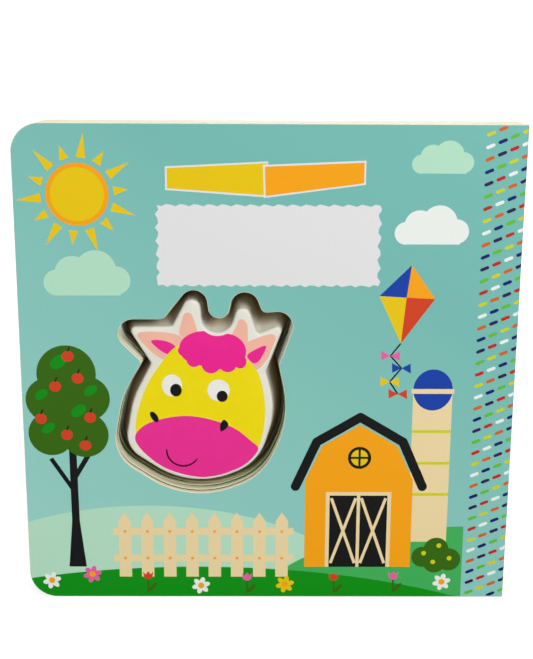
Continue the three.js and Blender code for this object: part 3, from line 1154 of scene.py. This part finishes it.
class BOARDBOOK_OT_dash_strip(bpy.types.Operator):
    """Prints the strip of slanted dashes that runs from the front, over the spine, to the back"""

    bl_idname = "boardbook.dash_strip"
    bl_label = "Dash Strip"

    def execute(self, context):
        flat = self.lattice(sizes())
        _, _, hinge, far_hinge = wrap_path()
        spans = {
            "front_cover": (0, hinge),
            "pages": (hinge + CREASE, far_hinge - CREASE),
            "back_cover": (far_hinge, 2 * far_hinge),
        }
        for body, (low, high) in spans.items():
            mesh = flat.copy()
            self.cut(mesh, low, high)
            self.wrap(mesh)
            strip = add_object(f"{body}_dashes", mesh)
            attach(strip, body)
        bpy.data.meshes.remove(flat)
        return {"FINISHED"}

    @staticmethod
    def lattice(size):
        """All the dashes in one plane: x is the way along the wrap and z the height."""
        half = (size.dash_length - size.dash_width) / 2
        outline = []
        for centre, first in ((half, -90), (-half, 90)):
            for angle in range(first, first + 181, 30):
                u, v = polar(centre, 0, size.dash_width / 2, math.radians(angle))
                outline.append((u, 0, v))
        mesh = bpy.data.meshes.new("dash")
        mesh.from_pydata(outline, [], [tuple(range(len(outline)))])
        dash = add_object("dash", mesh)
        _, _, hinge, _ = wrap_path()
        middle = hinge + (BACK_HINGE - FRONT_HINGE) / 2
        pitch = 2 * (middle - FIRST_DASH) / (DASH_COLUMNS - 1)
        rise = pitch * math.tan(DASH_SLANT)
        rows = int((BOOK_HEIGHT + rise * DASH_COLUMNS) / (size.dash_pitch / MM)) + 2
        flat = apply_tree(
            dash_tree(laminated_print()), dash, Columns=DASH_COLUMNS, Rows=rows,
            Column_Pitch=pitch * MM, Row_Pitch=size.dash_pitch, Rise=rise * MM, Slant=DASH_SLANT,
        )
        bpy.data.objects.remove(dash)
        lowest = -rise * (DASH_COLUMNS - 1)
        flat.transform(Matrix.Translation((FIRST_DASH * MM, 0, lowest * MM)))
        picks = flat.attributes["pick"]
        names = []
        for polygon in flat.polygons:
            place = polygon.vertices[0] if picks.domain == "POINT" else polygon.index
            names.append(DASH_INKS[int(round(picks.data[place].value)) % len(DASH_INKS)])
        paint(flat, names, inks())
        return flat

    @staticmethod
    def cut(mesh, low, high):
        """Trims the dashes to one stretch of the wrap and to the book's height, and cuts them
        across where the wrap bends."""
        fold = sizes().fold / MM
        face_end, _, hinge, far_hinge = wrap_path()
        work = bmesh.new()
        work.from_mesh(mesh)

        def bisect(u, v, normal_u, normal_v, clear):
            everything = work.verts[:] + work.edges[:] + work.faces[:]
            bmesh.ops.bisect_plane(work, geom=everything, plane_co=(u * MM, 0, v * MM),
                                   plane_no=(normal_u, 0, normal_v), clear_outer=clear)

        bisect(low, 0, -1, 0, True)
        bisect(high, 0, 1, 0, True)
        bisect(0, DASH_MARGIN, 0, -1, True)
        bisect(0, BOOK_HEIGHT - DASH_MARGIN, 0, 1, True)
        for k in range(FOLD_STEPS + 1):
            at = face_end + fold * math.pi / 2 * k / FOLD_STEPS
            bisect(at, 0, 1, 0, False)
            bisect(hinge + far_hinge - at, 0, 1, 0, False)
        work.to_mesh(mesh)
        work.free()

    @staticmethod
    def wrap(mesh):
        """Lays the plane round the book, a hair above the wrap."""
        fold = sizes().fold / MM
        face_end, turned, hinge, far_hinge = wrap_path()
        total = hinge + far_hinge
        for vertex in mesh.vertices:
            s = vertex.co.x / MM
            side = 1
            if s > total / 2:
                s = total - s
                side = -1
            if s <= face_end:
                u, y = s, FRONT_FACE - FILM
            elif s <= turned:
                angle = (s - face_end) / fold
                u = face_end + (fold + FILM) * math.sin(angle)
                y = FRONT_FACE + fold - (fold + FILM) * math.cos(angle)
            elif s <= hinge:
                u, y = BOOK_WIDTH + FILM, FRONT_FACE + fold + s - turned
            else:
                u, y = BOOK_WIDTH - SPINE_STEP + FILM, FRONT_HINGE + s - hinge
            vertex.co.x = (u + FORE_EDGE) * MM
            vertex.co.y = side * y * MM


# The squeaker

# Steps to each circle of the head's outlines
FACE_STEPS = 14
# The points that the face bulges with: their spacing, how far from the window's middle they start,
# and their columns and rows
GRID_SPACING, GRID_REACH, GRID_SIZE = 1.4, 42, (60, 70)
# The glued rim: its height, and the height and width of the bevel at its foot
RIM_HEIGHT, BEVEL_HEIGHT, BEVEL_WIDTH = 1.2, 0.15, 0.13
# The flank's rings, and how much faster it flares towards the rim
FLANK_RINGS, FLARE_POWER = 10, 1.7


def dome(panel_points, outline, rise, fall_off=9.0):
    """How far each point of the face bulges: nothing at its edge, and level further in."""
    edge = np.array(outline)
    along = np.roll(edge, -1, axis=0) - edge
    lengths = np.maximum((along ** 2).sum(axis=1), 1e-12)
    result = np.empty(len(panel_points))
    for i, point in enumerate(panel_points):
        share = np.clip(((point - edge) * along).sum(axis=1) / lengths, 0, 1)
        near = edge + along * share[:, None]
        distance = math.sqrt(((point - near) ** 2).sum(axis=1).min())
        t = min(distance / fall_off, 1)
        result[i] = rise * (1 - (1 - t) ** 2)
    return result


def inside(point, outline):
    u, v = point
    hit = False
    for (u0, v0), (u1, v1) in zip(outline, outline[1:] + outline[:1]):
        if (v0 > v) != (v1 > v) and u < (u1 - u0) * (v - v0) / (v1 - v0) + u0:
            hit = not hit
    return hit


def carried(point, outline, other):
    """Where a point of one outline falls on another that has as many corners."""
    start, end = np.array(outline), np.roll(outline, -1, axis=0)
    side = end - start
    share = ((point - start) * side).sum(axis=1) / ((side * side).sum(axis=1) + 1e-12)
    share = np.clip(share, 0, 1)[:, None]
    k = np.argmin(np.linalg.norm(start + side * share - point, axis=1))
    other = np.array(other)
    return other[k] * (1 - share[k]) + other[(k + 1) % len(other)] * share[k]


def moved(points):
    return [(u + WINDOW_U, v + WINDOW_V) for u, v in points]


def face_fields():
    """The painted face, in millimetres from the window's middle. The head leans to its left."""
    horns_and_ears = [
        [(-7.7, 24), (-7.2, 29), (-6.1, 31.8), (-4.3, 32), (-3.1, 30.2), (-1.4, 22)],
        [(10.2, 22), (12.2, 27.6), (13.4, 29.8), (15.2, 29.1), (16.1, 26.5), (15.4, 18)],
        [(-22.8, 24.5), (-18.6, 18.5), (-12.8, 14.9), (-8, 18), (-6.8, 23), (-13.5, 25)],
        [(15, 20), (19.4, 23), (25.5, 24.2), (24.9, 18.4), (20.6, 12.3), (17.4, 12)],
    ]
    inner_ears = [
        [(-18.1, 21.9), (-14.6, 18.3), (-11, 17), (-9.5, 19.9), (-13.4, 22)],
        [(22.6, 20.1), (18.8, 18.9), (15.9, 16.6), (18.2, 13.8), (20.7, 15.4)],
    ]
    # Broad at the jaw and narrow at the brow
    face = [
        (-8.6, 20.3), (-14, 14.8), (-20.7, 3.8), (-24.3, -10.5), (-20, -18), (-9, -24), (2, -26),
        (11, -24), (19.6, -18.4), (22.4, -6), (21.2, 6), (17.7, 13.4), (9, 21), (-2, 22),
    ]
    muzzle = [
        (-24.3, -13), (-18.2, -8), (-4.8, -5.8), (9.4, -9.4), (17.4, -15.3), (19.9, -18.9),
        (14.6, -25), (5.4, -29), (-4.4, -28.8), (-14.6, -25.3), (-22.6, -18.4),
    ]
    # Two round crowns, and smaller locks along the brow
    tuft = [
        (0.4, 19.2, 8.6, 6.3), (8.2, 18, 7.4, 6.6), (-6.6, 18.4, 2, 2), (-3.0, 15.4, 2.7, 3),
        (3.1, 13.5, 3.4, 3.4), (9, 13.6, 3.1, 3.1), (13.5, 14.5, 2.2, 2.6),
    ]
    nostril = [(6.5, -11.6), (6.3, -9), (7.6, -7.2), (9.1, -8.6), (8.7, -10.2)]
    fields = [
        *(("ear", smooth(shape)) for shape in horns_and_ears),
        *(("tuft", smooth(shape)) for shape in inner_ears),
        ("face", smooth(face)),
        ("muzzle", smooth(muzzle)),
        *(("tuft", ellipse(*lock)) for lock in tuft),
        ("eye", ellipse(-10.9, 5.6, 3.6, 4.05)),
        ("eye", ellipse(5.7, 3.85, 4)),
        ("black", ellipse(-9.5, 3.85, 2.1, 2.35)),
        ("black", ellipse(7, 1.6, 1.95, 2.1)),
        ("black", ellipse(-17.4, -6.2, 1.15, 2.3, 33, 24)),
        ("black", smooth(nostril)),
        ("black", crescent(-7.2, -18.9, 5.95, 173, 331, 0.62)),
    ]
    return [(ink, moved(points)) for ink, points in fields]


class BOARDBOOK_OT_squeaker_head(bpy.types.Operator):
    """Builds the soft moulded head: flared flank, round front edge and painted, pillowed face"""

    bl_idname = "boardbook.squeaker_head"
    bl_label = "Squeaker Head"

    def execute(self, context):
        size = sizes()
        edge = size.face_inset / MM
        rounding = size.face_round / MM
        place = (WINDOW_U, WINDOW_V)
        outline = arc_outline(FACE_ARCS, rounding, place, FACE_STEPS)
        brink = arc_outline(FACE_ARCS, 0, place, FACE_STEPS)
        rim = arc_outline(HEAD_ARCS, RIM_INSET, place, FACE_STEPS)
        grid = []
        for i in range(GRID_SIZE[0]):
            for j in range(GRID_SIZE[1]):
                point = (WINDOW_U - GRID_REACH + (i + 0.5 * (j % 2)) * GRID_SPACING,
                         WINDOW_V - GRID_REACH + j * GRID_SPACING)
                if inside(point, outline):
                    grid.append(point)
        panel = Panel(outline, [], face_fields(), "vinyl", grid)
        rise = size.pillow / MM
        lift = dome(panel.points, outline, rise)
        stations = self.stations(HEAD_FRONT + rise, edge, rounding)

        def mould(places):
            places[:len(lift), 1] -= lift
            return self.flare(places, panel, (outline, brink, rim), stations, rounding)

        head = panel_solid(
            "squeaker_head_skin", panel, stations, None, "vinyl", "flank", paints(),
            [painted_vinyl()], one_slot, mould,
        )
        head.data.polygons.foreach_set("use_smooth", [True] * len(head.data.polygons))
        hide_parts("squeaker_head")
        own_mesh(head)
        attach(head, "back_cover")
        return {"FINISHED"}

    @staticmethod
    def flare(places, panel, outlines, stations, rounding):
        """Leads each ring of the flank over the face's brink to the glued rim."""
        loop = panel.loops[0]
        inner = panel.points[loop]
        brink, rim = (
            np.array([carried(point, outlines[0], other) for point in inner])
            for other in outlines[1:]
        )
        full = max(reach for reach, _ in stations) - rounding
        for number, (reach, _) in enumerate(stations[1:]):
            if reach < rounding:
                ring = inner + (brink - inner) * reach / rounding
            else:
                ring = brink + (rim - brink) * (reach - rounding) / full
            first = len(panel.points) + number * len(loop)
            places[first:first + len(loop), 0] = ring[:, 0]
            places[first:first + len(loop), 2] = ring[:, 1]
        return places

    @staticmethod
    def stations(front, edge, rounding):
        """Rings from the face, over its round edge and down the flared flank to the glued rim."""
        rings = []
        for k in range(7):
            angle = math.pi / 2 * k / 6
            rings.append((rounding * math.sin(angle), front + rounding * (1 - math.cos(angle))))
        flare = edge - RIM_INSET
        top = front + rounding
        bottom = HEAD_BASE - RIM_HEIGHT
        for k in range(1, FLANK_RINGS + 1):
            share = k / FLANK_RINGS
            rings.append((rounding + flare * share ** FLARE_POWER, top + (bottom - top) * share))
        rings.append((rounding + flare, HEAD_BASE - BEVEL_HEIGHT))
        rings.append((rounding + flare - BEVEL_WIDTH, HEAD_BASE))
        return rings


class BOARDBOOK_OT_squeaker_parts(bpy.types.Operator):
    """Finishes the squeaker's base, whistle housing and reed"""

    bl_idname = "boardbook.squeaker_parts"
    bl_label = "Squeaker Parts"

    def execute(self, context):
        sheet = plain_plastic("plastic_sheet", srgb(222, 220, 208), 0.6)
        moulded = plain_plastic("whistle_plastic", srgb(242, 242, 238), 0.35)
        finishes = {"squeaker_base": sheet, "whistle_housing": moulded, "whistle_reed": sheet}
        for node, material in finishes.items():
            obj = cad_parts[node]
            obj.data.materials.clear()
            obj.data.materials.append(material)
        return {"FINISHED"}


# The stage

CAMERA_PLACE = (-4.125, -391.8, 192.5)
CAMERA_AZIMUTH = math.radians(-0.502)
CAMERA_DROP = math.radians(13.343)
CAMERA_ROLL = math.radians(0.289)
FOCAL_PIXELS = 1120.0
FRAME_PIXELS = (533, 659)
SENSOR_WIDTH = 36
# Place, size and power of each lamp
LAMPS = {
    "key_lamp": ((0.55, -1.05, 0.66), 0.55, 12.9),
    "fill_lamp": ((-0.75, -0.95, 0.55), 0.8, 4.5),
    "top_lamp": ((0.0, 0.1, 1.2), 0.8, 2.5),
    "back_lamp": ((0.35, 1.25, 0.75), 0.9, 15.0),
}
FLOOR_REACH = 4.0
FLOOR_GREY = (0.26, 0.26, 0.26, 1)
# The floor's glow for the camera: near the book, and from some way off
GLOW_FROM, GLOW_TO = (0.15, 0.84), (0.9, 1.0)
# The world's light on the book, and what is added to it for the camera
WORLD_LIGHT, WORLD_SEEN = 0.2, 0.8


class BOARDBOOK_OT_stage(bpy.types.Operator):
    """Sets up the floor, the soft lamps, the pale world and the camera"""

    bl_idname = "boardbook.stage"
    bl_label = "Stage"

    def execute(self, context):
        scene = context.scene
        scene.view_settings.view_transform = "Standard"
        self.floor()
        self.world(scene)
        for name, (place, size, power) in LAMPS.items():
            self.lamp(name, place, size, power)
        self.camera(scene)
        return {"FINISHED"}

    @staticmethod
    def floor():
        """A grey floor that looks pale to the camera alone."""
        mesh = bpy.data.meshes.new("floor")
        corners = rectangle(-FLOOR_REACH, -FLOOR_REACH, FLOOR_REACH, FLOOR_REACH)
        mesh.from_pydata([(x, y, 0) for x, y in corners], [], [(0, 1, 2, 3)])
        floor = add_object("floor", mesh)
        pale = Finish("pale_floor", Base_Color=FLOOR_GREY, Roughness=1.0, Specular_IOR_Level=0.0,
                      Emission_Color=WHITE)
        reach = pale.add("ShaderNodeVectorMath", {"operation": "LENGTH"}, at_0=pale.place())
        spread = pale.add("ShaderNodeMapRange", Value=reach.outputs["Value"],
                          From_Min=GLOW_FROM[0], From_Max=GLOW_TO[0],
                          To_Min=GLOW_FROM[1], To_Max=GLOW_TO[1])
        seen = pale.add("ShaderNodeLightPath").outputs["Is Camera Ray"]
        pale.set(pale.shader, Emission_Strength=pale.math("MULTIPLY", seen, spread.outputs[0]))
        mesh.materials.append(pale.material)

    @staticmethod
    def world(scene):
        """A white world that lights the book only dimly."""
        world = bpy.data.worlds.new("pale_world")
        scene.world = world
        world.use_nodes = True
        pale = NodeTree(world.node_tree)
        path = pale.add("ShaderNodeLightPath").outputs
        seen = pale.math("MAXIMUM", path["Is Camera Ray"], path["Is Transmission Ray"])
        strength = pale.math("ADD", pale.math("MULTIPLY", seen, WORLD_SEEN), WORLD_LIGHT)
        pale.set(world.node_tree.nodes["Background"], Color=WHITE, Strength=strength)

    @staticmethod
    def lamp(name, place, size, power):
        light = bpy.data.lights.new(name, "AREA")
        light.shape = "DISK"
        light.size = size
        light.energy = power
        lamp = add_object(name, light)
        lamp.location = place
        target = Vector((0, 0, BOOK_HIGH.z / 2))
        lamp.rotation_euler = (target - Vector(place)).to_track_quat("-Z", "Y").to_euler()

    @staticmethod
    def camera(scene):
        data = bpy.data.cameras.new("photo_camera")
        data.sensor_width = SENSOR_WIDTH
        data.lens = FOCAL_PIXELS * SENSOR_WIDTH / max(FRAME_PIXELS)
        data.clip_start = 0.01
        camera = add_object("photo_camera", data)
        ahead = Vector((
            -math.sin(CAMERA_AZIMUTH) * math.cos(CAMERA_DROP),
            math.cos(CAMERA_AZIMUTH) * math.cos(CAMERA_DROP),
            -math.sin(CAMERA_DROP),
        ))
        level = Vector((math.cos(CAMERA_AZIMUTH), math.sin(CAMERA_AZIMUTH), 0))
        upright = level.cross(ahead)
        right = level * math.cos(CAMERA_ROLL) + upright * math.sin(CAMERA_ROLL)
        up = upright * math.cos(CAMERA_ROLL) - level * math.sin(CAMERA_ROLL)
        turn = Matrix((right, up, -ahead)).transposed()
        camera.matrix_world = Matrix.Translation(Vector(CAMERA_PLACE) * MM) @ turn.to_4x4()
        scene.camera = camera


class BOARDBOOK_PT_panel(bpy.types.Panel):
    """Lists the steps that dress the book"""

    bl_label = "Board Book"
    bl_idname = "BOARDBOOK_PT_panel"
    bl_space_type = "VIEW_3D"
    bl_region_type = "UI"
    bl_category = "Board Book"

    def draw(self, context):
        layout = self.layout
        for operator in OPERATORS:
            layout.operator(operator.bl_idname)
        scene = context.scene
        for group in (scene.book_sizes, scene.book_inks, scene.head_paints):
            box = layout.box()
            for name in group.bl_rna.properties.keys():
                if name not in ("rna_type", "name"):
                    box.prop(group, name)


OPERATORS = (
    BOARDBOOK_OT_front_cover,
    BOARDBOOK_OT_back_cover,
    BOARDBOOK_OT_spine_wrap,
    BOARDBOOK_OT_dash_strip,
    BOARDBOOK_OT_page_block,
    BOARDBOOK_OT_squeaker_head,
    BOARDBOOK_OT_squeaker_parts,
    BOARDBOOK_OT_stage,
)
CLASSES = (BookInks, HeadPaints, BookSizes, *OPERATORS, BOARDBOOK_PT_panel)


def register():
    for cls in CLASSES:
        bpy.utils.register_class(cls)
    bpy.types.Scene.book_inks = PointerProperty(type=BookInks)
    bpy.types.Scene.head_paints = PointerProperty(type=HeadPaints)
    bpy.types.Scene.book_sizes = PointerProperty(type=BookSizes)


def unregister():
    del bpy.types.Scene.book_inks
    del bpy.types.Scene.head_paints
    del bpy.types.Scene.book_sizes
    for cls in reversed(CLASSES):
        bpy.utils.unregister_class(cls)


def main():
    register()
    bpy.ops.boardbook.front_cover()
    bpy.ops.boardbook.back_cover()
    bpy.ops.boardbook.spine_wrap()
    bpy.ops.boardbook.dash_strip()
    bpy.ops.boardbook.page_block()
    bpy.ops.boardbook.squeaker_head()
    bpy.ops.boardbook.squeaker_parts()
    bpy.ops.boardbook.stage()


if __name__ == "__main__":
    main()
